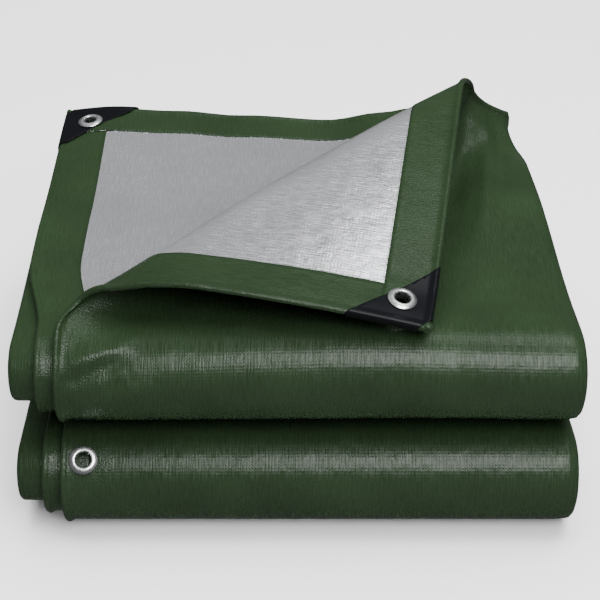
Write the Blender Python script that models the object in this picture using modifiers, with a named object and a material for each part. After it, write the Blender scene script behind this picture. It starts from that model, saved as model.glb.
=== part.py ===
"""A folded tarpaulin: six layers laid back and forth, the bundle then folded four times over.

One corner of the top layer is turned over, so that its silver underside shows. The sheet is
one closed solid, 2 mm thick. Two corner patches and three eyelets are fitted to it.

Metres, +Z up. X runs along the folds, Y from the front rolls to the back, and the origin is
at the middle of the footprint, on the surface that the bundle rests on.
"""

from math import atan2, cos, pi, radians, sin

import bmesh
import bpy
from mathutils import Matrix, Vector

MM = 0.001

# --- the sheet and how it is folded -------------------------------------------------------
SHEET = 2.0 * MM            # thickness of the solid sheet
GAP = 7.2 * MM              # from the middle of one layer to the middle of the next
BUNDLE = 6 * GAP            # six layers
LOWER_AXIS_Y = 40.6 * MM    # the front roll at the bottom
UPPER_AXIS_Y = 55.3 * MM    # the front roll on top, set a little further back
BACK_AXIS_Y = 341.4 * MM    # the fold at the back, between the two rolls
BOTTOM_END_Y = 366.0 * MM   # where the lowest pass of the bundle ends
CENTRE = Vector((-2.15 * MM, 190.3 * MM, 0.0))   # middle of the footprint, seen from the front

HEM_X = -180.0 * MM         # left hem of the outermost layer
FOLD_X = 200.0 * MM         # where the outer fold on the right begins
TURN_END_Y = 345.5 * MM     # back hem of the top layer, before its corner is turned over

# Layers in the order in which the sheet runs through them, from its left hem. Level counts
# layers from the middle of the bundle. A sheet runs right, left, right ... between the ends.
LAYERS = (
    # name, level, left end, right end, back end on top, columns
    ("top", 2.5, HEM_X, FOLD_X, TURN_END_Y, 8),
    ("bottom", -2.5, -211.0 * MM, FOLD_X, 372.0 * MM, 2),
    ("second", -1.5, -211.0 * MM, 194.0 * MM, 369.0 * MM, 2),
    ("third", -0.5, -212.0 * MM, 194.0 * MM, 373.0 * MM, 2),
    ("fourth", 0.5, -212.0 * MM, 193.0 * MM, 371.0 * MM, 3),
    ("under_top", 1.5, -195.0 * MM, 193.0 * MM, 378.0 * MM, 8),
)
OUTER_FOLD_STEPS = 7
INNER_FOLD_STEPS = 4
OUTER_DEPTH = 11.8 * MM     # how far the outer fold on the right stands out
OUTER_SQUARE = 0.5          # 1 is a round fold, and less is squarer
CLOSER = 1.3                # columns lie closer together towards the left hems

# Heights of the layer under the top one along its back edge, above its level place.
BACK_RISE = (
    # x, rise
    (-216.0 * MM, 14.0 * MM),
    (-150.0 * MM, 20.0 * MM),
    (-100.0 * MM, 17.0 * MM),
    (-47.0 * MM, 11.0 * MM),
    (27.0 * MM, 5.0 * MM),
    (75.0 * MM, 13.0 * MM),
    (110.0 * MM, 22.0 * MM),
    (150.0 * MM, 27.0 * MM),
    (190.0 * MM, 20.0 * MM),
)
FIELD_RISE = 8.0 * MM       # the same layer over the middle of the bundle
SIDE_SKEW = 17.0 * MM       # how far that layer's left hem swings out towards the back
RIGHT_LEAN = 15.0 * MM      # how far the right side draws in towards the back
SHOULDER = 18.0 * MM        # how far the top layer swells on the right, in front of its curl

# --- the turned corner --------------------------------------------------------------------
# The sheet rolls over a cone, so it bends without stretching. The cone's tip lies beyond the
# left hem, on the line where the sheet leaves the bundle.
LIFT_ANGLE = radians(32.3)  # direction of that line, from +X towards +Y
LIFT_Y = 21.0 * MM          # where it crosses the left hem, measured along the sheet
CONE_BACK = 245.0 * MM      # from there back to the cone's tip
CURL = (
    # name, radius at the left hem, angle turned
    ("rise", 33.0 * MM, radians(46.0)),
    ("crest", 11.3 * MM, radians(143.0)),
    ("flap", 320.0 * MM, radians(34.0)),
)
CURL_CUTS = (0, 15, 30, 46, 68, 90, 112, 134, 156, 178, 189, 192, 195, 198, 201, 204)   # degrees
SETTLE = 75.0 * MM          # past the line, the flap forgets the roll that it left within this
PEAK = 7.5 * MM             # how far the curl's far end is pulled up above its cone

# --- fittings -----------------------------------------------------------------------------
FIT_GAP = 0.3 * MM
PATCH_LEG = 64.0 * MM
PATCH_TIP = 10.0 * MM
PATCH_THICK = 1.2 * MM
EYELET_R = 11.0 * MM
EYELET_HOLE_R = 6.0 * MM
EYELET_WALL = 0.8 * MM
EYELET_RIM = 2.2 * MM
EYELET_BACK_R = 9.5 * MM
EYELET_BACK_RIM = 1.0 * MM
SHEET_HOLE_R = EYELET_HOLE_R + EYELET_WALL + 0.4 * MM
CORNER_EYELET = 24.0 * MM   # from both hems to the eyelet's middle
SIDE_EYELET = 17.5 * MM     # from the hem to the middle of the eyelet on the lower roll
SIDE_EYELET_TURN = radians(48.0)   # how high on the lower roll it sits, above its middle
CORNER_BACK_GAP = 1.1 * MM  # under the sheet, which dishes a little at its corners
SIDE_BACK_GAP = 2.4 * MM    # the same where the sheet curves round the lower roll

# name: colour, roughness, metallic
FINISHES = {
    "green_tarp": ((0.035, 0.075, 0.035), 0.35, 0.0),
    "black_patch": ((0.02, 0.02, 0.025), 0.45, 0.0),
    "aluminium": ((0.85, 0.85, 0.87), 0.30, 1.0),
}


# --- start from an empty scene ------------------------------------------------------------
for old in list(bpy.data.objects):
    bpy.data.objects.remove(old, do_unlink=True)

parts = bpy.data.collections.new("folded_tarp")
cutters = bpy.data.collections.new("hole_cutters")
bpy.context.scene.collection.children.link(parts)
bpy.context.scene.collection.children.link(cutters)


def finish(name):
    """The Principled material of that name, made once."""
    if name in bpy.data.materials:
        return bpy.data.materials[name]
    colour, roughness, metallic = FINISHES[name]
    material = bpy.data.materials.new(name)
    material.use_nodes = True
    shader = material.node_tree.nodes["Principled BSDF"]
    shader.inputs["Base Color"].default_value = (*colour, 1.0)
    shader.inputs["Roughness"].default_value = roughness
    shader.inputs["Metallic"].default_value = metallic
    return material


def add_object(name, bm, collection, material=None):
    """Turn a bmesh into a named object."""
    mesh = bpy.data.meshes.new(name)
    bm.to_mesh(mesh)
    bm.free()
    obj = bpy.data.objects.new(name, mesh)
    collection.objects.link(obj)
    if material:
        mesh.materials.append(finish(material))
    return obj


def smooth(t):
    """0 to 1 with a soft start and end."""
    t = min(max(t, 0.0), 1.0)
    return t * t * (3.0 - 2.0 * t)


def along(table, x):
    """A smooth value between the rows of a two-column table."""
    if x <= table[0][0]:
        return table[0][1]
    for (x0, y0), (x1, y1) in zip(table, table[1:]):
        if x <= x1:
            return y0 + (y1 - y0) * smooth((x - x0) / (x1 - x0))
    return table[-1][1]


# --- the path of the bundle, seen from its end --------------------------------------------
# v is the length along the outermost layer. On the top pass v equals y, so the turned corner
# can be laid out flat. Rolls are half circles about the front and back axes.
BUNDLE_R = BUNDLE / 2
ROLL_R = BUNDLE_R + 2.5 * GAP
ROLL_LENGTH = pi * ROLL_R
BACK_LENGTH = pi * BUNDLE_R
PASS_Z = [SHEET / 2 + 2.5 * GAP + BUNDLE * i for i in range(4)]     # from the floor up

V_TOP = UPPER_AXIS_Y
V_UPPER_ROLL = V_TOP - ROLL_LENGTH
V_THIRD = V_UPPER_ROLL - (BACK_AXIS_Y - UPPER_AXIS_Y)
V_BACK = V_THIRD - BACK_LENGTH
V_SECOND = V_BACK - (BACK_AXIS_Y - LOWER_AXIS_Y)
V_LOWER_ROLL = V_SECOND - ROLL_LENGTH
V_BOTTOM = V_LOWER_ROLL - (BOTTOM_END_Y - LOWER_AXIS_Y)


def on_path(v, level, back_end):
    """(y, z) of a layer at length v, level layers above the middle of the bundle."""
    n = level * GAP
    if v >= V_TOP:
        share = (v - V_TOP) / (TURN_END_Y - V_TOP)
        return V_TOP + share * (back_end - V_TOP), PASS_Z[3] + n
    if v >= V_UPPER_ROLL:
        turn = (V_TOP - v) / ROLL_R
        r = BUNDLE_R + n
        return UPPER_AXIS_Y - r * sin(turn), PASS_Z[3] - BUNDLE_R + r * cos(turn)
    if v >= V_THIRD:
        return UPPER_AXIS_Y + V_UPPER_ROLL - v, PASS_Z[2] - n
    if v >= V_BACK:
        turn = (V_THIRD - v) / BUNDLE_R
        r = BUNDLE_R - n
        return BACK_AXIS_Y + r * sin(turn), PASS_Z[2] - BUNDLE_R + r * cos(turn)
    if v >= V_SECOND:
        return BACK_AXIS_Y - (V_BACK - v), PASS_Z[1] + n
    if v >= V_LOWER_ROLL:
        turn = (V_SECOND - v) / ROLL_R
        r = BUNDLE_R + n
        return LOWER_AXIS_Y - r * sin(turn), PASS_Z[1] - BUNDLE_R + r * cos(turn)
    return LOWER_AXIS_Y + V_LOWER_ROLL - v, PASS_Z[0] - n


# --- the cone that turns the corner -------------------------------------------------------
LIFT_ALONG = Vector((cos(LIFT_ANGLE), sin(LIFT_ANGLE), 0.0))
LIFT_ACROSS = Vector((-sin(LIFT_ANGLE), cos(LIFT_ANGLE), 0.0))
CONE_TIP = Vector((HEM_X, LIFT_Y, 0.0)) - CONE_BACK * LIFT_ALONG
CONE_STEP = 0.004           # radians of sheet between two directions of the fan


def sheet_angle(turned):
    """Angle round the cone's tip, in the flat sheet, once it has turned that far."""
    total = 0.0
    for _, radius, turn in CURL:
        part = min(turned, turn)
        total += part * radius / CONE_BACK
        turned -= part
        if turned <= 0.0:
            break
    return total


def fan_of_directions():
    """Directions from the cone's tip, one for each step of sheet angle.

    Each direction turns about the sheet's normal by the step, and about itself by the
    curl's bend, so lengths in the sheet never change.
    """
    ends = []
    total = 0.0
    for _, radius, turn in CURL:
        total += turn * radius / CONE_BACK
        ends.append((total, CONE_BACK / radius))
    direction, normal = LIFT_ALONG.copy(), Vector((0, 0, 1))
    fan = [direction.copy()]
    while len(fan) * CONE_STEP < 1.3:
        middle = (len(fan) - 0.5) * CONE_STEP
        bend = next((b for end, b in ends if middle < end), 0.0)
        spin = normal + bend * direction
        turn = Matrix.Rotation(spin.length * CONE_STEP, 3, spin.normalized())
        direction, normal = turn @ direction, turn @ normal
        fan.append(direction.copy())
    return fan


FAN = fan_of_directions()


def turned_corner(x, v):
    """Where a point of the top layer lies, from its place in the flat sheet."""
    y, z = on_path(v, LAYERS[0][1], TURN_END_Y)
    flat = Vector((x, v, 0.0)) - CONE_TIP
    angle = atan2(flat.dot(LIFT_ACROSS), flat.dot(LIFT_ALONG))
    if angle <= 0.0 or v < V_UPPER_ROLL:
        return Vector((x, y, z))
    step = min(angle / CONE_STEP, len(FAN) - 1.001)
    i = int(step)
    direction = FAN[i].lerp(FAN[i + 1], step - i)
    top_z = PASS_Z[3] + LAYERS[0][1] * GAP
    place = CONE_TIP + flat.length * direction + Vector((0.0, 0.0, top_z))
    past = flat.length * angle
    leave = 1.0 - smooth(past / SETTLE)
    place += leave * Vector((0.0, y - v, z - top_z))
    far = smooth((flat.length - 380.0 * MM) / (230.0 * MM))
    crest = smooth(angle / 0.12) * (1.0 - smooth((angle - 0.20) / 0.35))
    place.z += PEAK * far * crest
    return place


# --- one place for every point of the sheet -----------------------------------------------
def rise(x, y):
    """How far the layer under the top one lies above its level place, on the top pass.

    It only rises behind the line where the top layer lifts off it.
    """
    middle = FIELD_RISE * smooth((y - 75.0 * MM) / (130.0 * MM))
    back = (along(BACK_RISE, x) - FIELD_RISE) * smooth((y - 215.0 * MM) / (150.0 * MM))
    past = Vector((x - HEM_X, y - LIFT_Y, 0.0)).dot(LIFT_ACROSS)
    return (middle + back) * smooth(past / (80.0 * MM))


def unevenness(x, y, z):
    """Slow waves in the pile. They fade towards the floor, where the sheet lies flat."""
    height = smooth((z - 45.0 * MM) / (120.0 * MM))
    wave = 1.3 * MM * sin(x / (58.0 * MM) + 0.8) + 0.9 * MM * sin(y / (47.0 * MM) + x / (90.0 * MM))
    return height * wave


def draw_in(x, y):
    """The right side leans in towards the back."""
    back = min(max((y - 20.0 * MM) / (310.0 * MM), 0.0), 1.0)
    return RIGHT_LEAN * back * smooth((x - 110.0 * MM) / (85.0 * MM))


def shoulder(x, v):
    """The swelling of the top layer on the right, which fades where the sheet curls up."""
    past = Vector((x - HEM_X, v - LIFT_Y, 0.0)).dot(LIFT_ACROSS)
    lengthwise = smooth((v - 80.0 * MM) / (150.0 * MM)) * (1.0 - smooth((v - 265.0 * MM) / (80.0 * MM)))
    return SHOULDER * smooth((x - 30.0 * MM) / (150.0 * MM)) * lengthwise * (1.0 - smooth(past / (60.0 * MM)))


def layer_point(row, x, v):
    """A point of one layer in the finished bundle, x being its place across the sheet."""
    name, level, left, right, back_end, _ = LAYERS[row]
    if name == "top":
        place = turned_corner(x, v)
        place.z += shoulder(x, v)
    else:
        y, z = on_path(v, level, back_end)
        if v > V_TOP:
            z += rise(x, y) * (level + 2.5) / 4.0
            if name == "under_top":
                x -= SIDE_SKEW * smooth((y - V_TOP) / (90.0 * MM)) * smooth((60.0 * MM - x) / (250.0 * MM))
        place = Vector((x, y, z))
    place.x -= draw_in(x, place.y)
    place.z += unevenness(place.x, place.y, place.z)
    return place


def fold_point(row, share, v):
    """A point on the fold from one layer to the next, share running from 0 to 1."""
    upper, lower = LAYERS[row], LAYERS[row + 1]
    right_side = row % 2 == 0
    column = 3 if right_side else 2
    a = layer_point(row, upper[column], v)
    b = layer_point(row + 1, lower[column], v)
    out = abs(upper[1] - lower[1]) * GAP / 2 * sin(pi * share)
    if row == 0:
        out = (OUTER_DEPTH - 4.3 * MM * smooth((v - 60.0 * MM) / (240.0 * MM))) * sin(pi * share) ** OUTER_SQUARE
    place = a.lerp(b, 0.5 - 0.5 * cos(pi * share))
    place.x += out * (1 if right_side else -1)
    return place


# --- stations across and along the sheet --------------------------------------------------
def across():
    """(layer row, kind, x or share) for each column of the grid, from the left hem on."""
    stations = []
    for row, (_, _, left, right, _, columns) in enumerate(LAYERS):
        places = [left + (right - left) * (i / columns) ** CLOSER for i in range(columns + 1)]
        if row % 2 == 1:
            places.reverse()
        stations += [(row, "layer", x) for x in places]
        if row + 1 < len(LAYERS):
            steps = OUTER_FOLD_STEPS if row == 0 else INNER_FOLD_STEPS
            for i in range(1, steps):
                stations.append((row, "fold", i / steps))
    return stations


def lengthwise():
    """Lengths v for each row of the grid, from the bottom end to the top one."""
    def spread(start, end, count):
        return [start + (end - start) * i / count for i in range(count)]

    rows = spread(V_BOTTOM, V_LOWER_ROLL, 2)
    rows += spread(V_LOWER_ROLL, V_SECOND, 9)
    rows += spread(V_SECOND, V_BACK, 2)
    rows += spread(V_BACK, V_THIRD, 5)
    rows += spread(V_THIRD, V_UPPER_ROLL, 2)
    rows += spread(V_UPPER_ROLL, V_TOP, 10)
    rows += spread(V_TOP, TURN_END_Y - PATCH_LEG, 5)
    rows += spread(TURN_END_Y - PATCH_LEG, TURN_END_Y, 3)
    return rows + [TURN_END_Y]


# --- the sheet ----------------------------------------------------------------------------
def make_sheet():
    """Lay a grid out flat, cut it where the corner curls, then fold it up."""
    columns, rows = across(), lengthwise()
    bm = bmesh.new()
    bmesh.ops.create_grid(bm, x_segments=len(columns) - 1, y_segments=len(rows) - 1, size=0.5)

    # On the flat sheet the top layer keeps its own x, and each other column follows at a step.
    flat_x = []
    for row, kind, value in columns:
        flat_x.append(value if row == 0 and kind == "layer" else flat_x[-1] + 10.0 * MM)
    for vert in bm.verts:
        i = round((vert.co.x + 0.5) * (len(columns) - 1))
        j = round((vert.co.y + 0.5) * (len(rows) - 1))
        vert.co = (flat_x[i], rows[j], 0.0)

    # Cuts along the cone's straight lines, from its tip.
    for turned in CURL_CUTS:
        angle = sheet_angle(radians(turned))
        across_line = LIFT_ACROSS * cos(angle) - LIFT_ALONG * sin(angle)
        corner = [f for f in bm.faces if top_corner(f.calc_center_median(), 20.0 * MM)]
        edges = {e for f in corner for e in f.edges}
        verts = {v for f in corner for v in f.verts}
        bmesh.ops.bisect_plane(
            bm, geom=[*corner, *edges, *verts], dist=0.2 * MM, plane_co=CONE_TIP, plane_no=across_line)

    for vert in bm.verts:
        vert.co = folded(vert.co.x, vert.co.y, columns, flat_x) - CENTRE
    bmesh.ops.recalc_face_normals(bm, faces=bm.faces)
    return bm


def top_corner(place, margin):
    """Whether a place on the flat sheet is near the part of the top layer that curls."""
    if place.x > FOLD_X or place.y < V_UPPER_ROLL:
        return False
    return (place - CONE_TIP).dot(LIFT_ACROSS) > -margin


def folded(x, v, columns, flat_x):
    """The folded place of a point of the flat sheet."""
    if x <= FOLD_X:
        return layer_point(0, x, v)
    i = min(max(k for k in range(len(flat_x)) if flat_x[k] <= x + 0.001 * MM), len(columns) - 1)
    row, kind, value = columns[i]
    if kind == "fold":
        return fold_point(row, value, v)
    return layer_point(row, value, v)


# --- fittings on the sheet ----------------------------------------------------------------
def frame_on(row, x, v, up):
    """Matrix at a point of a layer: Z along its normal, on the side that up points to."""
    step = 1.0 * MM
    here = layer_point(row, x, v)
    along_x = layer_point(row, x + step, v) - layer_point(row, x - step, v)
    along_v = layer_point(row, x, v + step) - layer_point(row, x, v - step)
    normal = along_x.cross(along_v).normalized()
    if normal.dot(up) < 0.0:
        normal.negate()
    side = along_x.normalized()
    turn = Matrix((side, normal.cross(side), normal)).transposed()
    return Matrix.Translation(here - CENTRE) @ turn.to_4x4()


def make_patch(name, row, hem_x, end_v, up):
    """A corner patch: a triangle with a cut tip, laid on the sheet with a fitting gap."""
    bm = bmesh.new()
    outline = ((PATCH_TIP, 0.0), (PATCH_LEG, 0.0), (0.0, PATCH_LEG), (0.0, PATCH_TIP))
    bm.faces.new([bm.verts.new((a, b, 0.0)) for a, b in outline])
    for i in range(1, 4):
        for normal in (Vector((1, 0, 0)), Vector((0, 1, 0))):
            bmesh.ops.bisect_plane(
                bm, geom=[*bm.verts, *bm.edges, *bm.faces], dist=0.1 * MM,
                plane_co=normal * PATCH_LEG * i / 4, plane_no=normal)
    scale_v = (TURN_END_Y - V_TOP) / (LAYERS[row][4] - V_TOP)
    inset = 0.6 * MM
    for vert in bm.verts:
        place = frame_on(row, hem_x + inset + vert.co.x, end_v - (inset + vert.co.y) * scale_v, up)
        lift = SHEET / 2 + FIT_GAP
        vert.co = place @ Vector((0.0, 0.0, lift))
    bmesh.ops.recalc_face_normals(bm, faces=bm.faces)
    face = max(bm.faces, key=lambda f: f.calc_area())
    if face.normal.dot(up) < 0.0:
        bmesh.ops.reverse_faces(bm, faces=bm.faces)
    patch = add_object(name, bm, parts, "black_patch")
    wall = patch.modifiers.new("wall", "SOLIDIFY")
    wall.thickness = PATCH_THICK
    wall.offset = 1.0
    return patch


def make_eyelet(name, base, stack, back_gap):
    """A turned eyelet: a domed rim in front, a barrel through the sheet and a rim behind.

    stack is the height of the front rim above the sheet's middle, and back_gap that of the
    back rim below it.
    """
    wall_r = EYELET_HOLE_R + EYELET_WALL
    top = stack + EYELET_RIM
    profile = (
        (EYELET_HOLE_R, top - 0.5 * MM),
        (EYELET_HOLE_R + 1.0 * MM, top),
        (EYELET_R - 2.0 * MM, top),
        (EYELET_R, stack + 0.6 * MM),
        (EYELET_R, stack),
        (wall_r, stack),
        (wall_r, -back_gap),
        (EYELET_BACK_R, -back_gap),
        (EYELET_BACK_R, -back_gap - EYELET_BACK_RIM),
        (EYELET_HOLE_R, -back_gap - EYELET_BACK_RIM),
    )
    bm = bmesh.new()
    verts = [bm.verts.new((r, 0.0, z)) for r, z in profile]
    edges = [bm.edges.new((a, b)) for a, b in zip(verts, verts[1:] + verts[:1])]
    bmesh.ops.spin(
        bm, geom=[*verts, *edges], cent=(0, 0, 0), axis=(0, 0, 1), angle=2 * pi, steps=24, use_merge=True)
    bmesh.ops.remove_doubles(bm, verts=bm.verts, dist=0.01 * MM)
    bmesh.ops.recalc_face_normals(bm, faces=bm.faces)
    bmesh.ops.transform(bm, matrix=base, verts=bm.verts)
    return add_object(name, bm, parts, "aluminium")


def make_cutter(name, base):
    """A round cutter for the hole in the sheet and in its patch."""
    bm = bmesh.new()
    bmesh.ops.create_cone(
        bm, cap_ends=True, segments=24, radius1=SHEET_HOLE_R, radius2=SHEET_HOLE_R, depth=10.0 * MM, matrix=base)
    cutter = add_object(name, bm, cutters)
    cutter.hide_render = True
    cutter.display_type = "WIRE"
    return cutter


def cut_hole(obj, cutter):
    """Cut the hole out of an object."""
    hole = obj.modifiers.new(cutter.name, "BOOLEAN")
    hole.operation = "DIFFERENCE"
    hole.object = cutter
    hole.solver = "EXACT"


sheet = add_object("tarp", make_sheet(), parts, "green_tarp")
wall = sheet.modifiers.new("wall", "SOLIDIFY")
wall.thickness = SHEET
wall.offset = 0.0

UP = Vector((0, 0, 1))
FRONT = Vector((0, -1, 1))
UNDER = 5
under_v_scale = (TURN_END_Y - V_TOP) / (LAYERS[UNDER][4] - V_TOP)
patch_stack = SHEET / 2 + FIT_GAP + PATCH_THICK + 2 * FIT_GAP

flap_patch = make_patch("patch_flap", 0, HEM_X, TURN_END_Y, UP)
base = frame_on(0, HEM_X + CORNER_EYELET, TURN_END_Y - CORNER_EYELET, UP)
make_eyelet("eyelet_flap", base, patch_stack, SHEET / 2 + CORNER_BACK_GAP)
cutter = make_cutter("hole_flap", base)
cut_hole(sheet, cutter)
cut_hole(flap_patch, cutter)

back_patch = make_patch("patch_back", UNDER, LAYERS[UNDER][2], TURN_END_Y, UP)
base = frame_on(UNDER, LAYERS[UNDER][2] + CORNER_EYELET, TURN_END_Y - CORNER_EYELET * under_v_scale, UP)
make_eyelet("eyelet_back", base, patch_stack, SHEET / 2 + CORNER_BACK_GAP)
cutter = make_cutter("hole_back", base)
cut_hole(sheet, cutter)
cut_hole(back_patch, cutter)

side_v = V_LOWER_ROLL + (pi / 2 + SIDE_EYELET_TURN) * ROLL_R
base = frame_on(0, HEM_X + SIDE_EYELET, side_v, FRONT)
make_eyelet("eyelet_side", base, SHEET / 2 + 2 * FIT_GAP, SHEET / 2 + SIDE_BACK_GAP)
cut_hole(sheet, make_cutter("hole_side", base))
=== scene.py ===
# %% [markdown]
# # A folded tarpaulin
# A tarpaulin of woven polyethylene tape, laminated green on its face and silver on its back.
# It was laid back and forth into six layers, and the bundle was folded four times over. One
# corner of the top layer is turned over, so that the silver side shows. Here the sheet is
# one grid that is laid out flat, then folded by the same rules as its CAD solid, with the
# hems, creases, corner patches and eyelets that the real one has.

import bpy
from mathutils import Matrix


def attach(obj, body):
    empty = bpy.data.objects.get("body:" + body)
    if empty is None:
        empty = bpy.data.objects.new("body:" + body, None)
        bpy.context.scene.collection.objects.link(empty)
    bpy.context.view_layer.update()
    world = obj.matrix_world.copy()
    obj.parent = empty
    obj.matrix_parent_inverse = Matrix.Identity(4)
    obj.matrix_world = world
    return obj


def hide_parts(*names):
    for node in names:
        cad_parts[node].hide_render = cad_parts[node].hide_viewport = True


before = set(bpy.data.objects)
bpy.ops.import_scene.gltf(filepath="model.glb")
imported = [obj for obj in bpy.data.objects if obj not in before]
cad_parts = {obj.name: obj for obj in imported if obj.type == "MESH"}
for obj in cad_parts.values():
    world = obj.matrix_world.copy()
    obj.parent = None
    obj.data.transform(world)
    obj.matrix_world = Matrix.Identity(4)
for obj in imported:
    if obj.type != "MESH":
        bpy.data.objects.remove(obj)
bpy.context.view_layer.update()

from math import atan2, ceil, cos, pi, radians, sin

import bmesh
import bpy
from mathutils import Matrix, Vector

MM = 0.001


# %% [markdown]
# ## How the sheet is folded
# The sizes are those of the CAD solid, in metres. Two fits are made here only, at the turned
# corner's hem and the pile's back right corner, by up to about 10 mm. A layer is known by its level above or
# below the middle of the bundle. The length v runs along the outermost layer, from the end
# on the floor, round the lower roll, the fold at the back and the upper roll, to the top.

# %% Sizes of the bundle
GAP = 7.2 * MM              # from one layer to the next
BUNDLE = 6 * GAP
LOWER_AXIS_Y = 40.6 * MM
UPPER_AXIS_Y = 55.3 * MM
BACK_AXIS_Y = 341.4 * MM
BOTTOM_END_Y = 366.0 * MM
CENTRE = Vector((-2.15 * MM, 190.3 * MM, 0.0))
HEM_X = -180.0 * MM
FOLD_X = 200.0 * MM
TURN_END_Y = 345.5 * MM
LAYERS = (
    # level, left end, right end, back end on top
    (2.5, HEM_X, FOLD_X, TURN_END_Y),
    (-2.5, -211.0 * MM, FOLD_X, 372.0 * MM),
    (-1.5, -211.0 * MM, 194.0 * MM, 369.0 * MM),
    (-0.5, -212.0 * MM, 194.0 * MM, 373.0 * MM),
    (0.5, -212.0 * MM, 193.0 * MM, 371.0 * MM),
    (1.5, -195.0 * MM, 193.0 * MM, 378.0 * MM),
)
TOP, UNDER = 0, 5
OUTER_DEPTH = 11.8 * MM     # how far the outer fold on the right stands out
OUTER_SQUARE = 0.5          # 1 is a round fold, and less is squarer

BUNDLE_R = BUNDLE / 2
ROLL_R = BUNDLE_R + 2.5 * GAP
PASS_Z = [1.0 * MM + 2.5 * GAP + BUNDLE * i for i in range(4)]
V_TOP = UPPER_AXIS_Y
V_UPPER_ROLL = V_TOP - pi * ROLL_R
V_THIRD = V_UPPER_ROLL - (BACK_AXIS_Y - UPPER_AXIS_Y)
V_BACK = V_THIRD - pi * BUNDLE_R
V_SECOND = V_BACK - (BACK_AXIS_Y - LOWER_AXIS_Y)
V_LOWER_ROLL = V_SECOND - pi * ROLL_R
V_BOTTOM = V_LOWER_ROLL - (BOTTOM_END_Y - LOWER_AXIS_Y)
print("length of the sheet along the folds: %.3f m" % (TURN_END_Y - V_BOTTOM))


# %% The path of a layer, seen from its end
def on_path(v, level, back_end):
    """(y, z) of a layer at length v."""
    n = level * GAP
    if v >= V_TOP:
        share = (v - V_TOP) / (TURN_END_Y - V_TOP)
        return V_TOP + share * (back_end - V_TOP), PASS_Z[3] + n
    if v >= V_UPPER_ROLL:
        turn = (V_TOP - v) / ROLL_R
        r = BUNDLE_R + n
        return UPPER_AXIS_Y - r * sin(turn), PASS_Z[3] - BUNDLE_R + r * cos(turn)
    if v >= V_THIRD:
        return UPPER_AXIS_Y + V_UPPER_ROLL - v, PASS_Z[2] - n
    if v >= V_BACK:
        turn = (V_THIRD - v) / BUNDLE_R
        r = BUNDLE_R - n
        return BACK_AXIS_Y + r * sin(turn), PASS_Z[2] - BUNDLE_R + r * cos(turn)
    if v >= V_SECOND:
        return BACK_AXIS_Y - (V_BACK - v), PASS_Z[1] + n
    if v >= V_LOWER_ROLL:
        turn = (V_SECOND - v) / ROLL_R
        r = BUNDLE_R + n
        return LOWER_AXIS_Y - r * sin(turn), PASS_Z[1] - BUNDLE_R + r * cos(turn)
    return LOWER_AXIS_Y + V_LOWER_ROLL - v, PASS_Z[0] - n


# %% [markdown]
# ## The turned corner
# Cloth that is rolled over a cone bends without stretching. The cone's tip lies beyond the
# left hem. Each straight line of the sheet through that tip stays straight, so a fan of
# directions from the tip says where every point of the corner goes. A cloth simulation would
# find a turn of its own, and this one has to lie close to the CAD solid's corner. The hem
# leaves the cone a little where the corner starts to lift, which the CAD solid's doesn't.

# %% The cone and its fan of directions
LIFT_ANGLE = radians(32.3)
LIFT_Y = 21.0 * MM
CONE_BACK = 245.0 * MM
CURL = (
    # radius at the left hem, angle turned
    (33.0 * MM, radians(46.0)),
    (11.3 * MM, radians(143.0)),
    (320.0 * MM, radians(34.0)),
)
CONE_STEP = 0.004
SETTLE = 75.0 * MM
PEAK = 7.5 * MM             # how far the curl's far end is pulled up above its cone
HEM_RIGHT = 9.5 * MM        # how far the hem lies right of its cone where it lifts
HEM_DIP = 7.0 * MM          # and how far below it
HEM_UP = 6.5 * MM           # how far the hem curls up further on
LIFT_ALONG = Vector((cos(LIFT_ANGLE), sin(LIFT_ANGLE), 0.0))
LIFT_ACROSS = Vector((-sin(LIFT_ANGLE), cos(LIFT_ANGLE), 0.0))
CONE_TIP = Vector((HEM_X, LIFT_Y, 0.0)) - CONE_BACK * LIFT_ALONG


def fan_of_directions():
    """Directions from the cone's tip, one for each step of angle in the flat sheet."""
    ends, total = [], 0.0
    for radius, turn in CURL:
        total += turn * radius / CONE_BACK
        ends.append((total, CONE_BACK / radius))
    direction, normal = LIFT_ALONG.copy(), Vector((0, 0, 1))
    fan = [direction.copy()]
    while len(fan) * CONE_STEP < 1.3:
        middle = (len(fan) - 0.5) * CONE_STEP
        bend = next((b for end, b in ends if middle < end), 0.0)
        spin = normal + bend * direction
        turn = Matrix.Rotation(spin.length * CONE_STEP, 3, spin.normalized())
        direction, normal = turn @ direction, turn @ normal
        fan.append(direction.copy())
    return fan


FAN = fan_of_directions()
print("directions in the fan:", len(FAN))


# %% Where a point of the top layer lies
def smooth(t):
    """0 to 1 with a soft start and end."""
    t = min(max(t, 0.0), 1.0)
    return t * t * (3.0 - 2.0 * t)


def past_lift(x, v):
    """How far a point of the flat sheet is past the line where the corner lifts off."""
    return (x - HEM_X) * LIFT_ACROSS.x + (v - LIFT_Y) * LIFT_ACROSS.y


def hem_shift(x, v):
    """How far the hem of the turned corner lies off its cone."""
    past = past_lift(x, v)
    near = 1.0 - smooth((x - HEM_X) / (150.0 * MM))
    turn = smooth((past - 18.0 * MM) / (24.0 * MM)) * (1.0 - smooth((past - 53.0 * MM) / (47.0 * MM)))
    dip = smooth((past - 24.0 * MM) / (29.0 * MM)) * (1.0 - smooth((past - 58.0 * MM) / (42.0 * MM)))
    band = (1.0 - smooth((x - HEM_X) / (42.0 * MM))) * smooth((v - 115.0 * MM) / (60.0 * MM))
    return Vector((HEM_RIGHT * near * turn, 0.0, HEM_UP * band - HEM_DIP * near * dip))


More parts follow.
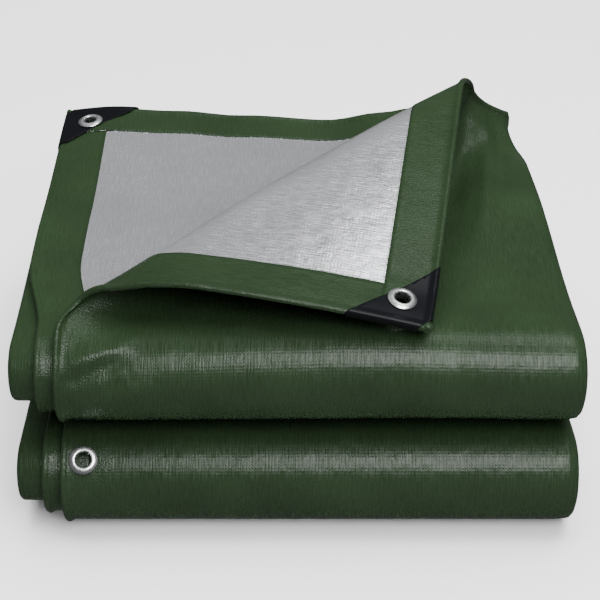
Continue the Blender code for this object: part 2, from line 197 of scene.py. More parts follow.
def turned_corner(x, v):
    """Where a point of the top layer lies, from its place in the flat sheet."""
    y, z = on_path(v, LAYERS[TOP][0], TURN_END_Y)
    flat = Vector((x, v, 0.0)) - CONE_TIP
    angle = atan2(flat.dot(LIFT_ACROSS), flat.dot(LIFT_ALONG))
    if angle <= 0.0 or v < V_UPPER_ROLL:
        return Vector((x, y, z))
    step = min(angle / CONE_STEP, len(FAN) - 1.001)
    i = int(step)
    direction = FAN[i].lerp(FAN[i + 1], step - i)
    top_z = PASS_Z[3] + LAYERS[TOP][0] * GAP
    place = CONE_TIP + flat.length * direction + Vector((0.0, 0.0, top_z))
    leave = 1.0 - smooth(flat.length * angle / SETTLE)
    place += leave * Vector((0.0, y - v, z - top_z))
    far = smooth((flat.length - 380.0 * MM) / (230.0 * MM))
    crest = smooth(angle / 0.12) * (1.0 - smooth((angle - 0.20) / 0.35))
    place.z += PEAK * far * crest
    return place + hem_shift(x, v)


# %% [markdown]
# ## The pile is not quite square
# The layer under the top one rises towards the back, the pile leans in on its right, and the
# top layer swells there where it starts to curl.

# %% Slow changes of the pile
BACK_RISE = (
    # x, rise at the back edge
    (-216.0 * MM, 14.0 * MM),
    (-150.0 * MM, 20.0 * MM),
    (-100.0 * MM, 17.0 * MM),
    (-47.0 * MM, 11.0 * MM),
    (27.0 * MM, 5.0 * MM),
    (75.0 * MM, 13.0 * MM),
    (110.0 * MM, 22.0 * MM),
    (150.0 * MM, 27.0 * MM),
    (190.0 * MM, 20.0 * MM),
)
FIELD_RISE = 8.0 * MM
SIDE_SKEW = 17.0 * MM
RIGHT_LEAN = 15.0 * MM
CORNER_LEAN = 10.0 * MM     # how much more it does so at its back corner
SHOULDER = 18.0 * MM
TUCK = 6.0 * MM             # how far the layer under the top one is pressed down at the right


def along(table, x):
    """A smooth value between the rows of a two-column table."""
    if x <= table[0][0]:
        return table[0][1]
    for (x0, y0), (x1, y1) in zip(table, table[1:]):
        if x <= x1:
            return y0 + (y1 - y0) * smooth((x - x0) / (x1 - x0))
    return table[-1][1]


def rise(x, y):
    """How far the layer under the top one lies above its level place."""
    middle = FIELD_RISE * smooth((y - 75.0 * MM) / (130.0 * MM))
    back = (along(BACK_RISE, x) - FIELD_RISE) * smooth((y - 215.0 * MM) / (150.0 * MM))
    return (middle + back) * smooth(past_lift(x, y) / (80.0 * MM))


def unevenness(x, y, z):
    """Slow waves in the pile. They fade towards the floor, where the sheet lies flat."""
    height = smooth((z - 45.0 * MM) / (120.0 * MM))
    wave = 1.3 * MM * sin(x / (58.0 * MM) + 0.8) + 0.9 * MM * sin(y / (47.0 * MM) + x / (90.0 * MM))
    return height * wave


def draw_in(x, y):
    """The right side leans in towards the back."""
    back = min(max((y - 20.0 * MM) / (310.0 * MM), 0.0), 1.0)
    corner = smooth((y - 285.0 * MM) / (55.0 * MM))
    return (RIGHT_LEAN * back + CORNER_LEAN * corner) * smooth((x - 110.0 * MM) / (85.0 * MM))


def shoulder(x, v):
    """The swelling of the top layer on the right, which fades where the sheet curls up."""
    lengthwise = smooth((v - 80.0 * MM) / (150.0 * MM)) * (1.0 - smooth((v - 265.0 * MM) / (80.0 * MM)))
    across = smooth((x - 30.0 * MM) / (150.0 * MM)) * (1.0 - smooth(past_lift(x, v) / (60.0 * MM)))
    return SHOULDER * lengthwise * across


# %% A point of any layer, and of the folds between them
def layer_point(row, x, v):
    """A point of one layer in the bundle, x being its place across the sheet."""
    level, _, _, back_end = LAYERS[row]
    if row == TOP:
        place = turned_corner(x, v)
        place.z += shoulder(x, v)
    else:
        y, z = on_path(v, level, back_end)
        if v > V_TOP:
            z += rise(x, y) * (level + 2.5) / 4.0
            if row == UNDER:
                z -= TUCK * smooth((x - 80.0 * MM) / (50.0 * MM)) * smooth((y - 190.0 * MM) / (70.0 * MM))
                x -= SIDE_SKEW * smooth((y - V_TOP) / (90.0 * MM)) * smooth((60.0 * MM - x) / (250.0 * MM))
        place = Vector((x, y, z))
    place.x -= draw_in(x, place.y)
    place.z += unevenness(place.x, place.y, place.z)
    return place


def fold_point(row, share, v):
    """A point on the fold from one layer to the next, share running from 0 to 1."""
    upper, lower = LAYERS[row], LAYERS[row + 1]
    right_side = row % 2 == 0
    side = 2 if right_side else 1
    a = layer_point(row, upper[side], v)
    b = layer_point(row + 1, lower[side], v)
    out = abs(upper[0] - lower[0]) * GAP / 2 * sin(pi * share)
    if row == TOP:
        depth = OUTER_DEPTH - 4.3 * MM * smooth((v - 60.0 * MM) / (240.0 * MM))
        out = depth * sin(pi * min(max(share, 0.0), 1.0)) ** OUTER_SQUARE
    place = a.lerp(b, 0.5 - 0.5 * cos(pi * share))
    place.x += out * (1 if right_side else -1)
    return place


# %% [markdown]
# ## Hems
# A real tarpaulin's edge is folded over a rope onto its silver side and welded, so a green
# band with a bead at its edge borders the silver. The grid has that cloth too: past the edge
# it turns round the rope and comes back as a strip. A hem made as a separate piece would need
# its own edge to sit in the sheet, and this one simply is the sheet.

# %% The section of a hem
SHEET = 0.4 * MM            # thickness of the laminate
PLY = 0.6 * MM              # from one ply of a hem to the next
ROPE_R = 2.3 * MM           # the bead's radius
STRIP = 39.0 * MM           # width of the welded band
BEAD_IN = 2 * ROPE_R + 1.6 * MM     # where the sheet starts to rise over the rope
BEAD_STEPS = 8
BEAD_LENGTH = 15.0 * MM     # cloth round the rope
BEAD_OPEN = radians(42.0)   # half of the angle at which the two plies close on the rope


def hem_section(share, ply):
    """(inset from the edge, height to the silver side, inward direction) over the bead."""
    if share <= 0.0:
        return BEAD_IN, 0.0, (0.0, 1.0)
    if share >= 1.0:
        return BEAD_IN, ply, (0.0, -1.0)
    edge = 1.0 / (BEAD_STEPS + 2)
    turn = BEAD_OPEN + (2 * pi - 2 * BEAD_OPEN) * min(max((share - edge) / (1.0 - 2 * edge), 0.0), 1.0)
    inset = ROPE_R * (1.0 + cos(turn))
    height = ply / 2 - ROPE_R * sin(turn)
    inward = (-cos(turn), sin(turn))
    if share < edge:
        t = share / edge
        return inset * t + BEAD_IN * (1 - t), height * t, (inward[0] * t, inward[1] * t + 1 - t)
    if share > 1.0 - edge:
        t = (1.0 - share) / edge
        height = height * t + ply * (1 - t)
        return inset * t + BEAD_IN * (1 - t), height, (inward[0] * t, inward[1] * t - 1 + t)
    return inset, height, inward


print("bead stands %.1f mm on the silver side" % ((PLY / 2 + ROPE_R) / MM))

# %% [markdown]
# ## The flat sheet
# One coordinate runs across the sheet from hem to hem, and one along it. Each span says which
# layer or fold it belongs to, so a point of the flat grid finds its place in the pile, and
# the same two lengths are the UV map, in metres, for the weave.

# %% Spans across the sheet
SPANS = []                  # start, end, kind, layer


def add_span(length, kind, row):
    """Add a span after the last one."""
    start = SPANS[-1][1] if SPANS else 0.0
    SPANS.append((start, start + length, kind, row))


add_span(STRIP - BEAD_IN, "strip", TOP)
add_span(BEAD_LENGTH, "bead", TOP)
for row, (level, left, right, _) in enumerate(LAYERS):
    hemmed = row in (TOP, UNDER)
    add_span(right - left - (BEAD_IN if hemmed else 0.0), "layer", row)
    if row < UNDER:
        add_span(pi * abs(level - LAYERS[row + 1][0]) * GAP / 2, "fold", row)
add_span(BEAD_LENGTH, "bead", UNDER)
add_span(STRIP - BEAD_IN, "strip", UNDER)
SHEET_WIDTH = SPANS[-1][1]


def across_at(u):
    """(layer, kind, x or share, height) at a length u across the sheet."""
    for start, end, kind, row in SPANS:
        if u <= end + 1e-9:
            break
    share = min(max((u - start) / (end - start), 0.0), 1.0)
    _, left, right, _ = LAYERS[row]
    if kind == "fold":
        return row, "fold", share, 0.0
    if kind == "layer":
        inner = left + BEAD_IN if row in (TOP, UNDER) else left
        share = share if row % 2 == 0 else 1.0 - share
        return row, "layer", inner + (right - inner) * share, 0.0
    if kind == "bead":
        turned = 1.0 - share if row == TOP else share
        inset, height, _ = hem_section(turned, PLY)
        return row, "hem", left + inset, height
    inset = BEAD_IN + (STRIP - BEAD_IN) * (1.0 - share if row == TOP else share)
    return row, "hem", left + inset, PLY


# %% Rows along the sheet
BEYOND = STRIP - BEAD_IN + BEAD_LENGTH      # cloth in a hem, past the place where it begins


def hem_row(beyond, ply):
    """(inset, height, inward direction) of the hem at the end of the sheet."""
    if beyond <= 0.0:
        return BEAD_IN - beyond, 0.0, (0.0, 1.0)
    if beyond < BEAD_LENGTH:
        return hem_section(beyond / BEAD_LENGTH, ply)
    return BEAD_IN + beyond - BEAD_LENGTH, ply, (0.0, -1.0)


def main_point(row, kind, value, v):
    """A point of the plain sheet, without its creases."""
    return fold_point(row, value, v) if kind == "fold" else layer_point(row, value, v)


def green_side(row, kind, value, v):
    """The direction of the green side at a point of the plain sheet."""
    step = 0.01 if kind == "fold" else 0.5 * MM
    low, high = value - step, value + step
    if kind == "fold":
        low, high = max(low, 0.0), min(high, 1.0)
    across = main_point(row, kind, high, v) - main_point(row, kind, low, v)
    if kind != "fold" and row % 2 == 1:
        across.negate()
    lengthwise = main_point(row, kind, value, v + 0.5 * MM) - main_point(row, kind, value, v - 0.5 * MM)
    return across.cross(lengthwise).normalized()


# %% [markdown]
# ## Creases
# The laminate is stiff, so it takes soft dents and ridges where it was squeezed. Each one is
# a line on the flat sheet with a height and a width, listed one by one. They fade at their ends.
# They belong to the sheet's shape, so both plies of a hem follow them.

# %% Creases on the top layer
CREASES = (
    # x0, v0, x1, v1, height, half width, all mm
    (150, 170, 178, 330, 3.4, 9),
    (122, 190, 152, 345, -3.6, 10),
    (172, 215, 190, 320, -1.6, 7),
    (100, 120, 128, 200, -1.4, 12),
    (150, 325, 196, 300, 1.6, 6),
    (-168, 22, -120, 38, 2.2, 6),
    (-172, 6, -128, 24, -2.2, 6),
    (-165, -14, -105, 4, 1.9, 7),
    (-176, -40, -140, -34, -0.8, 6),
    (-60, -30, 40, -36, 0.5, 9),
    (60, -52, 150, -44, -0.6, 8),
    (-100, -75, 10, -70, -0.5, 9),
)


def crease_height(x, v):
    """How far the creases lift a point of the top layer."""
    total = 0.0
    for x0, v0, x1, v1, height, width in CREASES:
        a, b = Vector((x0 * MM, v0 * MM)), Vector((x1 * MM, v1 * MM))
        line = b - a
        t = (Vector((x, v)) - a).dot(line) / line.length_squared
        if not -0.15 < t < 1.15:
            continue
        off = (Vector((x, v)) - a - t * line).length / (width * MM)
        if off < 3.0:
            fade = smooth((t + 0.15) / 0.4) * smooth((1.15 - t) / 0.4)
            total += height * MM * fade * 2.718 ** (-off * off)
    return total


# %% A place for every point of the grid
V_SCALES = [(TURN_END_Y - V_TOP) / (back_end - V_TOP) for _, _, _, back_end in LAYERS]
CORNER_PLIES = 3


def sheet_place(u, w):
    """The folded place of a point of the flat sheet."""
    row, kind, value, height = across_at(u)

    def creased(v, lift):
        """The sheet at v, lift to its silver side."""
        if row == TOP and kind != "fold" and v > V_UPPER_ROLL - 0.03:
            lift -= crease_height(value, v)
        place = main_point(row, kind, value, v)
        return place - lift * green_side(row, kind, value, v) if abs(lift) > 1e-6 else place

    top_end = w > (V_BOTTOM + TURN_END_Y) / 2
    beyond = w - (TURN_END_Y - BEAD_IN) if top_end else (V_BOTTOM + BEAD_IN) - w
    if kind != "hem" and beyond <= 0.0:
        return creased(w, 0.0)

    # Where two hems cross at a corner, the second one goes over both plies of the first.
    ply = PLY
    if row in (TOP, UNDER) and kind != "fold":
        from_hem = value - LAYERS[row][1]
        ply += (CORNER_PLIES - 1) * PLY * (1.0 - smooth((from_hem - STRIP) / (9.0 * MM)))
    inset, lift, inward = hem_row(beyond, ply)
    inset += height * inward[0] * (1.0 if beyond > 0.0 else 0.0)
    lift += height * inward[1]
    scale = V_SCALES[row] if top_end else 1.0
    v = w if beyond <= 0.0 else (TURN_END_Y - inset * scale if top_end else V_BOTTOM + inset)
    return creased(v, lift)


# %% Stations of the grid
def spread(start, end, step):
    """Even stations from start to just before end, at most step apart."""
    count = max(1, ceil(abs(end - start) / step - 1e-6))
    return [start + (end - start) * i / count for i in range(count)]


COLUMN_STEPS = {"strip": 7.0 * MM, "bead": BEAD_LENGTH / (BEAD_STEPS + 2)}
LAYER_STEPS = (7.0 * MM, 90.0 * MM, 90.0 * MM, 90.0 * MM, 90.0 * MM, 11.0 * MM)

columns = []
for start, end, kind, row in SPANS:
    if kind == "layer":
        step = LAYER_STEPS[row]
    elif kind == "fold":
        step = (end - start) / (10 if row == TOP else 6)
    else:
        step = COLUMN_STEPS[kind]
    columns += spread(start, end, step)
columns.append(SHEET_WIDTH)

rows = spread(V_BOTTOM + BEAD_IN - BEYOND, V_BOTTOM + BEAD_IN - BEAD_LENGTH, 16.0 * MM)
rows += spread(V_BOTTOM + BEAD_IN - BEAD_LENGTH, V_BOTTOM + BEAD_IN, BEAD_LENGTH / 8)
rows += spread(V_BOTTOM + BEAD_IN, V_LOWER_ROLL, 40.0 * MM)
rows += spread(V_LOWER_ROLL, V_SECOND, 6.5 * MM)
rows += spread(V_SECOND, V_BACK, 40.0 * MM)
rows += spread(V_BACK, V_THIRD, 7.0 * MM)
rows += spread(V_THIRD, V_UPPER_ROLL, 40.0 * MM)
rows += spread(V_UPPER_ROLL, V_TOP, 6.5 * MM)
rows += spread(V_TOP, TURN_END_Y - BEAD_IN, 7.0 * MM)
rows += spread(TURN_END_Y - BEAD_IN, TURN_END_Y - BEAD_IN + BEAD_LENGTH, BEAD_LENGTH / (BEAD_STEPS + 2))
rows += spread(TURN_END_Y - BEAD_IN + BEAD_LENGTH, TURN_END_Y - BEAD_IN + BEYOND, 7.0 * MM)
rows.append(TURN_END_Y - BEAD_IN + BEYOND)
print("grid of %d columns and %d rows" % (len(columns), len(rows)))


# %% Helpers for objects
pieces = bpy.data.collections.new("tarp_pieces")
bpy.context.scene.collection.children.link(pieces)


def add_piece(name, bm, slot, *nodes):
    """Make a named piece that rides on the body and stands for CAD nodes."""
    mesh = bpy.data.meshes.new(name)
    bm.to_mesh(mesh)
    bm.free()
    mesh.shade_smooth()
    obj = bpy.data.objects.new(name, mesh)
    pieces.objects.link(obj)
    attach(obj, "root")
    if nodes:
        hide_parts(*nodes)
    print("%s: %d faces" % (name, len(mesh.polygons)))
    return obj


# %% Fold the grid
def region(bm, low, high):
    """Edges of the faces whose flat places lie between two corners."""
    edges = set()
    for face in bm.faces:
        c = face.calc_center_median()
        if low[0] <= c.x <= high[0] and low[1] <= c.y <= high[1]:
            edges.update(face.edges)
    return list(edges)


TOP_START, TOP_END = SPANS[2][0], SPANS[2][1]
sheet = bmesh.new()
bmesh.ops.create_grid(sheet, x_segments=len(columns) - 1, y_segments=len(rows) - 1, size=0.5)
for vert in sheet.verts:
    i = round((vert.co.x + 0.5) * (len(columns) - 1))
    j = round((vert.co.y + 0.5) * (len(rows) - 1))
    vert.co = (columns[i], rows[j], 0.0)

# The top layer shows most, so its cells are split, and so are those of the lower roll.
edges = region(sheet, (0.0, V_UPPER_ROLL), (TOP_END, TURN_END_Y - BEAD_IN + BEYOND))
bmesh.ops.subdivide_edges(sheet, edges=edges, cuts=1, use_grid_fill=True)
edges = region(sheet, (TOP_START, V_LOWER_ROLL), (TOP_END, V_SECOND))
bmesh.ops.subdivide_edges(sheet, edges=edges, cuts=1, use_grid_fill=True)

flat_map = sheet.loops.layers.uv.new("flat")
for face in sheet.faces:
    for loop in face.loops:
        loop[flat_map].uv = loop.vert.co.xy
hem_mask = sheet.verts.layers.float.new("hem")
for vert in sheet.verts:
    u, w = vert.co.xy
    row, kind, value, _ = across_at(u)
    inset_end = min(TURN_END_Y - w, w - V_BOTTOM)
    inset_side = value - LAYERS[row][1] if row in (TOP, UNDER) and kind != "fold" else STRIP * 2
    vert[hem_mask] = 1.0 - smooth((min(inset_end, inset_side) - STRIP) / (3.0 * MM) + 0.5)
    vert.co = sheet_place(u, w) - CENTRE
    vert.co.z = max(vert.co.z, SHEET)       # the beads underneath lie flat on the ground
sheet.normal_update()
print("sheet: %d faces" % len(sheet.faces))

# %% [markdown]
# ## Corner patches and eyelets
# Each corner is capped with a moulded plastic patch that wraps both faces, and an aluminium
# eyelet is set through it. The eyelets are spun from their section, with a domed rim.

# %% Where the fittings sit
PATCH_LEG = 64.0 * MM
PATCH_TIP = 10.0 * MM
SHEET_HOLE_R = 7.0 * MM
CORNER_EYELET = 24.0 * MM   # from both hems to the eyelet's middle
SIDE_EYELET = 17.5 * MM
SIDE_EYELET_TURN = radians(48.0)    # from the roll's front, up
UP = Vector((0, 0, 1))


def frame_on(row, x, v, up):
    """Matrix at a point of a layer: Z along its normal, on the side that up points to."""
    step = 1.0 * MM
    here = layer_point(row, x, v)
    along_x = layer_point(row, x + step, v) - layer_point(row, x - step, v)
    along_v = layer_point(row, x, v + step) - layer_point(row, x, v - step)
    normal = along_x.cross(along_v).normalized()
    if normal.dot(up) < 0.0:
        normal.negate()
    side = along_x.normalized()
    turn = Matrix((side, normal.cross(side), normal)).transposed()
    return Matrix.Translation(here - CENTRE) @ turn.to_4x4()


side_v = V_LOWER_ROLL + (pi / 2 + SIDE_EYELET_TURN) * ROLL_R
PLACES = {
    "eyelet_flap": frame_on(TOP, HEM_X + CORNER_EYELET, TURN_END_Y - CORNER_EYELET, UP),
    "eyelet_back": frame_on(
        UNDER, LAYERS[UNDER][1] + CORNER_EYELET, TURN_END_Y - CORNER_EYELET * V_SCALES[UNDER], UP),
    "eyelet_side": frame_on(TOP, HEM_X + SIDE_EYELET, side_v, Vector((0, -1, 1))),
}
for name, place in PLACES.items():
    print(name, "at", [round(c, 4) for c in place.translation])


# %% Punch the holes
PUNCH = 6.0 * MM            # reach of the cutter to either side of the sheet


def near(place, centre, radius, depth):
    """Whether a point lies inside the round cutter."""
    local = place.inverted() @ centre
    return local.xy.length < radius and abs(local.z) < depth


for place in PLACES.values():
    for _ in range(2):
        around = [f for f in sheet.faces if near(place, f.calc_center_median(), 10.5 * MM, PUNCH)]
        edges = {e for f in around for e in f.edges}
        bmesh.ops.subdivide_edges(sheet, edges=list(edges), cuts=1, use_grid_fill=True)
    punched = [
        f for f in sheet.faces
        if near(place, f.calc_center_median(), SHEET_HOLE_R + 0.5 * MM, PUNCH)]
    bmesh.ops.delete(sheet, geom=punched, context="FACES")
bmesh.ops.triangulate(sheet, faces=[f for f in sheet.faces if len(f.verts) > 4])
sheet.normal_update()

tarp = add_piece("tarp_sheet", sheet, "tarp_sheet", "tarp")
wall = tarp.modifiers.new("laminate", "SOLIDIFY")
wall.thickness = SHEET
wall.offset = 0.0
wall.material_offset = 1


# %% Spin the eyelets
def eyelet(name, stack, back):
    """A domed eyelet, stack above the sheet's middle and back below it."""
    top = stack + 2.2 * MM
    profile = (
        (6.0, -back - 1.0), (6.0, stack / MM + 0.9), (6.25, top / MM - 0.35), (6.8, top / MM - 0.05),
        (7.6, top / MM), (8.6, top / MM - 0.2), (9.6, top / MM - 0.75), (10.4, top / MM - 1.35),
        (10.9, stack / MM + 0.5), (11.0, stack / MM + 0.1), (10.9, stack / MM), (6.8, stack / MM),
        (6.8, -back), (9.4, -back), (9.5, -back - 0.3), (9.3, -back - 0.8), (8.2, -back - 1.0),
    )
    bm = bmesh.new()
    verts = [bm.verts.new((r * MM, 0.0, z * MM)) for r, z in profile]
    edges = [bm.edges.new((a, b)) for a, b in zip(verts, verts[1:] + verts[:1])]
    bmesh.ops.spin(
        bm, geom=[*verts, *edges], cent=(0, 0, 0), axis=(0, 0, 1), angle=2 * pi, steps=64, use_merge=True)
    bmesh.ops.remove_doubles(bm, verts=bm.verts, dist=0.005 * MM)
    bmesh.ops.recalc_face_normals(bm, faces=bm.faces)
    bmesh.ops.transform(bm, matrix=PLACES[name], verts=bm.verts)
    return add_piece(name + "_ring", bm, "eyelet", name)


corner_stack = 3.1 * MM
ring_flap = eyelet("eyelet_flap", corner_stack, 2.1)
ring_back = eyelet("eyelet_back", corner_stack, 2.1)
ring_side = eyelet("eyelet_side", 1.2 * MM, 1.6)


# %% Fold the corner patches
PATCH = 0.7 * MM            # thickness of the plastic
PATCH_ROUND = 3.4 * MM      # width of its rounded edge
PATCH_BULGE = ROPE_R + CORNER_PLIES * PLY + 0.9 * MM


def patch_height(a, b, front):
    """Height of a patch over the middle of the sheet, a and b being its distances from the hems."""
    flat = (CORNER_PLIES + 0.4) * PLY + 0.5 * MM if front else 0.9 * MM
    d = min(a, b)
    over_bead = (PATCH_BULGE - flat) * (1.0 - smooth((d - ROPE_R) / (5.5 * MM)))
    t = min(d / PATCH_ROUND, 1.0)
    return (flat + over_bead) * (1.0 - (1.0 - t) ** 2) ** 0.5


def patch(name, node, row, up):
    """A plastic triangle on each face, joined along both hems, with its tip cut off."""
    left, end = LAYERS[row][1], TURN_END_Y
    bm = bmesh.new()
    cells = 26
    bmesh.ops.create_grid(bm, x_segments=cells, y_segments=cells, size=0.5)
    for vert in bm.verts:
        t = vert.co.xy + Vector((0.5, 0.5))
        vert.co = (PATCH_LEG * t.x ** 1.5, PATCH_LEG * t.y ** 1.5, 0.0)
    for reach, keep in ((PATCH_LEG, "clear_outer"), (PATCH_TIP, "clear_inner")):
        bmesh.ops.bisect_plane(
            bm, geom=[*bm.verts, *bm.edges, *bm.faces], dist=0.05 * MM,
            plane_co=(reach / 2, reach / 2, 0), plane_no=(1, 1, 0), **{keep: True})
    back = bmesh.ops.duplicate(bm, geom=[*bm.verts, *bm.edges, *bm.faces])["geom"]
    back_verts = {g for g in back if isinstance(g, bmesh.types.BMVert)}
    outward = 0.9 * MM
    for vert in bm.verts:
        a, b = vert.co.x, vert.co.y
        front = vert not in back_verts
        height = patch_height(a, b, front)
        place = frame_on(row, left + a - outward, end - (b - outward) * V_SCALES[row], up)
        vert.co = place @ Vector((0.0, 0.0, height if front else -height))
    bmesh.ops.remove_doubles(bm, verts=bm.verts, dist=0.02 * MM)
    hole = PLACES[node.replace("patch", "eyelet")]
    punched = [f for f in bm.faces if near(hole, f.calc_center_median(), 7.6 * MM, 7.0 * MM)]
    bmesh.ops.delete(bm, geom=punched, context="FACES")
    bmesh.ops.recalc_face_normals(bm, faces=bm.faces)
    outer = max(bm.verts, key=lambda q: (q.co - hole.translation).dot(hole.col[2].xyz))
    if outer.normal.dot(hole.col[2].xyz) < 0.0:
        bmesh.ops.reverse_faces(bm, faces=bm.faces)
    obj = add_piece(name, bm, "corner_patch", node)
    thick = obj.modifiers.new("plastic", "SOLIDIFY")
    thick.thickness = PATCH
    thick.offset = -1.0
    return obj


patch_front = patch("patch_flap_cap", "patch_flap", TOP, UP)
patch_rear = patch("patch_back_cap", "patch_back", UNDER, UP)

# %% [markdown]
# ## Materials
# Woven polyethylene tape under a clear green film is glossy, with the tapes just showing in
# its shine. The back is a film filled with aluminium flake, which is duller and paler.

# %% A small kit for materials
def linear(hex_colour):
    """An sRGB hex colour as linear RGBA."""
    parts = [int(hex_colour[i:i + 2], 16) / 255 for i in (1, 3, 5)]
    return (*[c / 12.92 if c <= 0.04045 else ((c + 0.055) / 1.055) ** 2.4 for c in parts], 1.0)


def new_material(name):
    """A material with a Principled shader: the material and its shader."""
    material = bpy.data.materials.new(name)
    material.use_nodes = True
    return material, material.node_tree.nodes["Principled BSDF"]


def node(material, kind, settings=None, **inputs):
    """Add a node. Inputs are values, or sockets to link from."""
    made = material.node_tree.nodes.new(kind)
    for key, value in (settings or {}).items():
        setattr(made, key, value)
    for key, value in inputs.items():
        numbered = key[0] == "i" and key[1:].isdigit()
        socket = made.inputs[int(key[1:]) if numbered else key.replace("_", " ")]
        if isinstance(value, bpy.types.NodeSocket):
            material.node_tree.links.new(value, socket)
        else:
            socket.default_value = value
    return made


def link(material, source, shader, socket):
    """Link a socket to the shader."""
    material.node_tree.links.new(source, shader.inputs[socket])


# %% Woven laminate
TAPE = 2.5 * MM             # one tape of the weave
STREAK = (1.1 * MM, 14.0 * MM)      # drawn lines in the tapes: width across, length along
PEBBLE = 1.6 * MM           # grain that the welding wheel pressed into the hems


def laminate(name, light, deep, roughness, gloss, weave_depth, metallic=0.0):
    """A laminated weave on the sheet's flat UV map, roughness being a range."""
    material, shader = new_material(name)
    uv = node(material, "ShaderNodeUVMap", {"uv_map": "flat"}).outputs["UV"]
    hem = node(material, "ShaderNodeAttribute", {"attribute_name": "hem"}).outputs["Fac"]
    flat_noise = {"noise_dimensions": "2D"}

    # The weave: two sets of tapes, a little uneven.
    bands = pi / 10 / TAPE
    across = node(
        material, "ShaderNodeTexWave", {"bands_direction": "X"},
        Vector=uv, Scale=bands, Distortion=0.8, Detail=1.0)
    lengthwise = node(
        material, "ShaderNodeTexWave", {"bands_direction": "Y"},
        Vector=uv, Scale=bands, Distortion=0.8, Detail=1.0)
    weave = node(
        material, "ShaderNodeMath", {"operation": "MULTIPLY"},
        i0=across.outputs["Fac"], i1=lengthwise.outputs["Fac"])

    # Lines drawn along the tapes, slow clouds, and the grain of the hems.
    drawn = node(material, "ShaderNodeMapping", None, Vector=uv, Scale=(1 / STREAK[0], 1 / STREAK[1], 1.0))
    streaks = node(material, "ShaderNodeTexNoise", flat_noise, Vector=drawn.outputs[0], Scale=1.0, Detail=2.0)
    cloudy = node(material, "ShaderNodeTexNoise", flat_noise, Vector=uv, Scale=16.0, Detail=4.0)
    dents = node(material, "ShaderNodeTexNoise", flat_noise, Vector=uv, Scale=70.0, Detail=2.0)
    pebbles = node(
        material, "ShaderNodeTexVoronoi", {"voronoi_dimensions": "2D"}, Vector=uv, Scale=1 / PEBBLE)
    grain = node(
        material, "ShaderNodeMath", {"operation": "MULTIPLY"}, i0=pebbles.outputs["Distance"], i1=hem)

    woven = node(
        material, "ShaderNodeBump", None, Strength=weave_depth, Distance=0.12 * MM, Height=weave.outputs[0])
    lined = node(
        material, "ShaderNodeBump", None, Strength=0.8, Distance=0.22 * MM,
        Height=streaks.outputs["Fac"], Normal=woven.outputs[0])
    dented = node(
        material, "ShaderNodeBump", None, Strength=0.6, Distance=0.9 * MM,
        Height=dents.outputs["Fac"], Normal=lined.outputs[0])
    pressed = node(
        material, "ShaderNodeBump", None, Strength=0.5, Distance=0.35 * MM,
        Height=grain.outputs[0], Normal=dented.outputs[0])
    link(material, pressed.outputs[0], shader, "Normal")

    faint = node(
        material, "ShaderNodeMath", {"operation": "MULTIPLY"}, i0=streaks.outputs["Fac"], i1=0.4)
    mixed = node(
        material, "ShaderNodeMath", {"operation": "MULTIPLY_ADD"},
        i0=cloudy.outputs["Fac"], i1=0.8, i2=faint.outputs[0])
    tint = node(
        material, "ShaderNodeMix", {"data_type": "RGBA"},
        i0=mixed.outputs[0], i6=linear(deep), i7=linear(light))
    link(material, tint.outputs[2], shader, "Base Color")
    rough = node(
        material, "ShaderNodeMapRange", None, Value=streaks.outputs["Fac"],
        From_Min=0.35, From_Max=0.65, To_Min=roughness[0], To_Max=roughness[1])
    link(material, rough.outputs[0], shader, "Roughness")
    shader.inputs["IOR"].default_value = 1.51       # polyethylene
    shader.inputs["Specular IOR Level"].default_value = gloss
    shader.inputs["Metallic"].default_value = metallic
    return material


green = laminate("laminated_woven_polyethylene_green", "#21301E", "#162013", (0.17, 0.40), 0.20, 0.5)
silver = laminate("aluminised_polyethylene_film", "#DCDDE1", "#C4C5CA", (0.15, 0.36), 0.5, 0.3, 0.85)
tarp.data.materials.append(green)
tarp.data.materials.append(silver)

# %% Plastic and metal
black, shader = new_material("moulded_polypropylene_black")
shader.inputs["Base Color"].default_value = linear("#08090C")
shader.inputs["Roughness"].default_value = 0.42
shader.inputs["Specular IOR Level"].default_value = 0.2
shader.inputs["IOR"].default_value = 1.49
grain = node(black, "ShaderNodeTexNoise", None, Scale=900.0, Detail=2.0)
coord = node(black, "ShaderNodeTexCoord")
black.node_tree.links.new(coord.outputs["Object"], grain.inputs["Vector"])
relief = node(black, "ShaderNodeBump", None, Strength=0.15, Distance=0.1 * MM, Height=grain.outputs["Fac"])
link(black, relief.outputs[0], shader, "Normal")
for cap in (patch_front, patch_rear):
    cap.data.materials.append(black)

metal, shader = new_material("pressed_aluminium")
shader.inputs["Base Color"].default_value = linear("#E4E5E7")
shader.inputs["Metallic"].default_value = 1.0
coord = node(metal, "ShaderNodeTexCoord")
scratch = node(metal, "ShaderNodeTexNoise", None, Vector=coord.outputs["Object"], Scale=400.0, Detail=3.0)
rough = node(metal, "ShaderNodeMapRange", None, Value=scratch.outputs["Fac"], To_Min=0.2, To_Max=0.38)
link(metal, rough.outputs[0], shader, "Roughness")
for ring in (ring_flap, ring_back, ring_side):
    ring.data.materials.append(metal)

# %% [markdown]
# ## Floor, light and camera
# A pale sweep, one large soft box in front that draws a broad band along each roll, a card that
# the silver film mirrors, a box that lights the eyelets only, and the camera looking down on
# the pile.

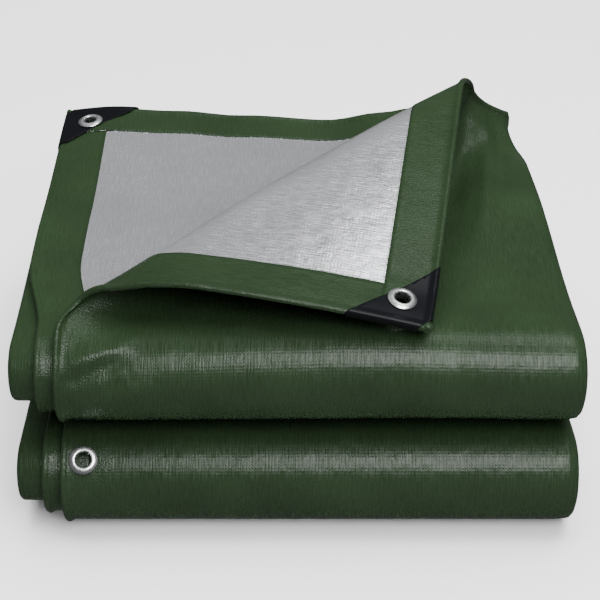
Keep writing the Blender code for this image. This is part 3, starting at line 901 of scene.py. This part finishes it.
# %% Floor
bm = bmesh.new()
bmesh.ops.create_grid(bm, x_segments=1, y_segments=1, size=6.0)
mesh = bpy.data.meshes.new("floor")
bm.to_mesh(mesh)
bm.free()
floor = bpy.data.objects.new("floor", mesh)
bpy.context.scene.collection.objects.link(floor)
floor_paint, shader = new_material("white_sweep")
shader.inputs["Base Color"].default_value = linear("#F4F4F4")
shader.inputs["Roughness"].default_value = 0.9
mesh.materials.append(floor_paint)
floor.visible_glossy = False        # the front of the rolls mirrors darkness, not the sweep


# %% Lights
def soft_box(name, place, target, size, power):
    """A rectangular area light that faces a target."""
    light = bpy.data.lights.new(name, "AREA")
    light.shape = "RECTANGLE"
    light.size, light.size_y = size
    light.energy = power
    obj = bpy.data.objects.new(name, light)
    bpy.context.scene.collection.objects.link(obj)
    obj.location = place
    obj.rotation_euler = (Vector(target) - Vector(place)).to_track_quat("-Z", "Y").to_euler()
    return obj


soft_box("front_box", (0.5, -1.6, 1.8), (0.05, -0.1, 0.1), (1.6, 1.25), 74.0)
top_box = soft_box("top_box", (0.1, 0.4, 2.6), (0.0, 0.1, 0.1), (3.2, 2.6), 210.0)
top_box.visible_glossy = False      # the card below is what the film mirrors
soft_box("card", (0.75, 0.15, 2.6), (0.05, -0.05, 0.2), (1.1, 0.8), 16.0)
rim_box = soft_box("rim_box", (0.1, 0.4, 2.6), (0.0, 0.1, 0.1), (3.2, 2.6), 210.0)
rims = bpy.data.collections.new("rims")     # the only things that this box lights
for ring in (ring_flap, ring_back, ring_side):
    rims.objects.link(ring)
rim_box.light_linking.receiver_collection = rims
world = bpy.data.worlds.new("studio")
world.use_nodes = True
world.node_tree.nodes["Background"].inputs["Color"].default_value = linear("#FFFFFF")
world.node_tree.nodes["Background"].inputs["Strength"].default_value = 0.12
bpy.context.scene.world = world

# %% Camera
lens = bpy.data.cameras.new("camera")
lens.lens = 90.0
lens.sensor_width = 36.0
camera = bpy.data.objects.new("camera", lens)
camera.location = (0.0021, -1.0423, 0.799)
camera.rotation_euler = (radians(56.0), 0.0, 0.0)
bpy.context.scene.collection.objects.link(camera)
bpy.context.scene.camera = camera
